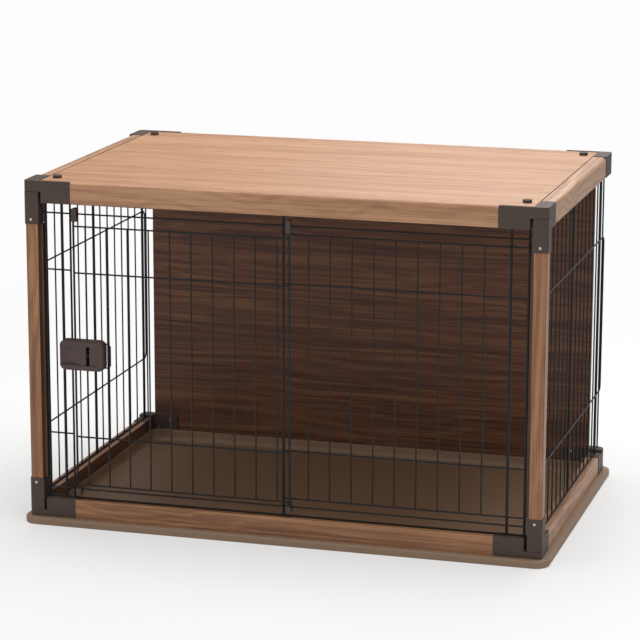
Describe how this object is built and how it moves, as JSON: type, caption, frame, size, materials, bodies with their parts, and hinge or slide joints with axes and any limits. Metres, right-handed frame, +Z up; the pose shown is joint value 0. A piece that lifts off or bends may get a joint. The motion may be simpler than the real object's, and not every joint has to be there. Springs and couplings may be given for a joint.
{
  "type": "dog crate",
  "caption": "Furniture-style wire dog crate with a wood-effect tabletop, back board and corner posts, a latched sliding wire door, and a moulded floor tray.",
  "frame": {"origin": "bottom centre of the tray, on the floor", "axes": "+Z up, the doorway side faces -Y, +X to the right of a person facing the doorway"},
  "size_m": [0.974, 0.636, 0.6383],
  "materials": {
    "walnut_light": "satin wood-grain foil, light walnut",
    "walnut_dark": "satin wood-grain foil, deep walnut",
    "brown_plastic": "fine matte moulded texture",
    "tray_plastic": "matte moulded, fine texture",
    "black_wire": "satin powder coat on steel wire",
    "nickel_screw": "bright nickel plate",
    "spring_steel": "plain drawn wire"
  },
  "bodies": {
    "frame": {"back_board": "walnut_dark", "base_tray": "tray_plastic", "board_screws": "nickel_screw", "bottom_bracket_front_left": "brown_plastic", "bottom_bracket_front_right": "brown_plastic", "bottom_bracket_rear_left": "brown_plastic", "bottom_bracket_rear_right": "brown_plastic", "bottom_front_rail": "walnut_light", "bottom_left_rail": "walnut_light", "bottom_right_rail": "walnut_light", "front_bottom_wires": "black_wire", "front_grille": "black_wire", "front_post_left": "walnut_light", "front_post_right": "walnut_light", "front_stub_panel": "black_wire", "front_top_wires": "black_wire", "post_sleeve_bottom_left": "brown_plastic", "post_sleeve_bottom_right": "brown_plastic", "post_sleeve_top_left": "brown_plastic", "post_sleeve_top_right": "brown_plastic", "side_grille_left": "black_wire", "side_grille_right": "black_wire", "sleeve_screws": "nickel_screw", "tabletop": "walnut_light", "top_bracket_front_left": "brown_plastic", "top_bracket_front_right": "brown_plastic", "top_bracket_rear_left": "brown_plastic", "top_bracket_rear_right": "brown_plastic", "top_left_rail": "walnut_light", "top_rear_rail": "walnut_light", "top_right_rail": "walnut_light"},
    "door": {"door_grille": "black_wire", "door_hook_top_left": "brown_plastic", "door_hook_top_right": "brown_plastic", "door_hook_bottom_left": "brown_plastic", "door_hook_bottom_right": "brown_plastic", "latch_housing": "brown_plastic", "latch_back_plate": "brown_plastic", "latch_screws": "nickel_screw", "latch_loop": "black_wire", "latch_spring": "spring_steel"},
    "latch_thumb": {"latch_slider": "brown_plastic"},
    "tabletop_knob_front_left": {"tabletop_knob_front_left": "brown_plastic"},
    "tabletop_knob_front_right": {"tabletop_knob_front_right": "brown_plastic"},
    "tabletop_knob_rear_left": {"tabletop_knob_rear_left": "brown_plastic"},
    "tabletop_knob_rear_right": {"tabletop_knob_rear_right": "brown_plastic"}
  },
  "joints": [
    {"name": "door_slide", "type": "slide", "parent": "frame", "child": "door", "axis": [1, 0, 0], "range_m": [0, 0.374]},
    {"name": "latch_slide", "type": "slide", "parent": "door", "child": "latch_thumb", "axis": [1, 0, 0], "range_m": [0, 0.006], "stiffness_N_per_m": 150, "springref_m": -0.01, "deforming": ["latch_spring"]},
    {"name": "knob_turn_front_left", "type": "hinge", "parent": "frame", "child": "tabletop_knob_front_left", "pos_m": [-0.428, -0.26, 0.633], "axis": [0, 0, 1], "range_deg": [0, 90]},
    {"name": "knob_turn_front_right", "type": "hinge", "parent": "frame", "child": "tabletop_knob_front_right", "pos_m": [0.428, -0.26, 0.633], "axis": [0, 0, 1], "range_deg": [0, 90]},
    {"name": "knob_turn_rear_left", "type": "hinge", "parent": "frame", "child": "tabletop_knob_rear_left", "pos_m": [-0.428, 0.26, 0.633], "axis": [0, 0, 1], "range_deg": [0, 90]},
    {"name": "knob_turn_rear_right", "type": "hinge", "parent": "frame", "child": "tabletop_knob_rear_right", "pos_m": [0.428, 0.26, 0.633], "axis": [0, 0, 1], "range_deg": [0, 90]}
  ]
}
